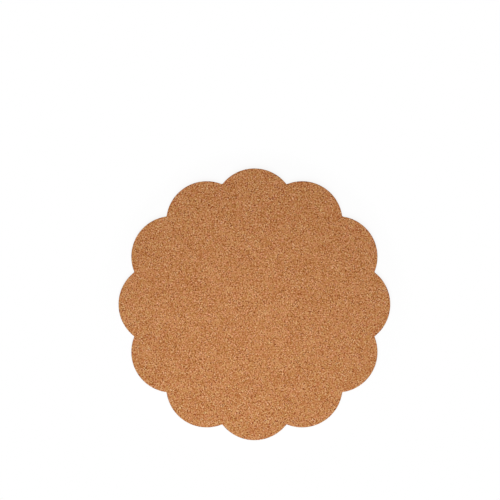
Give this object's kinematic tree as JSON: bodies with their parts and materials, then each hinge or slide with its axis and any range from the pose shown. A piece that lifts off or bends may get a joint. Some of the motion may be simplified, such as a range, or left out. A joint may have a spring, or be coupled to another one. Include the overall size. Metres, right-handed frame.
{
  "type": "cork-backed placemat",
  "caption": "Round scalloped placemat: a stiff laminated board with a satin serving face and a sheet of agglomerated cork on its back.",
  "frame": {"origin": "middle of the serving face, on the surface that the mat lies on: it is stored face down, with its cork back up, as it was pictured", "axes": "+Z out of the cork back, +X and +Y each through the tip of a lobe"},
  "size_m": [0.38, 0.38, 0.0058],
  "materials": {
    "overlay_film": "satin melamine wear film",
    "decor_paper": "plain decor paper soaked in resin",
    "fibreboard": "pressed brown wood fibre",
    "edge_lacquer": "satin brown lacquer on sanded fibre",
    "kraft_paper": "uncoated brown paper",
    "adhesive": "dried clear adhesive",
    "cork": "sanded agglomerated cork, matt"
  },
  "bodies": {
    "root": {"clear_overlay": "overlay_film", "decor_sheet": "decor_paper", "core_board": "fibreboard", "edge_seal": "edge_lacquer", "balance_sheet": "kraft_paper", "adhesive_film": "adhesive", "cork_backing": "cork"}
  },
  "joints": []
}
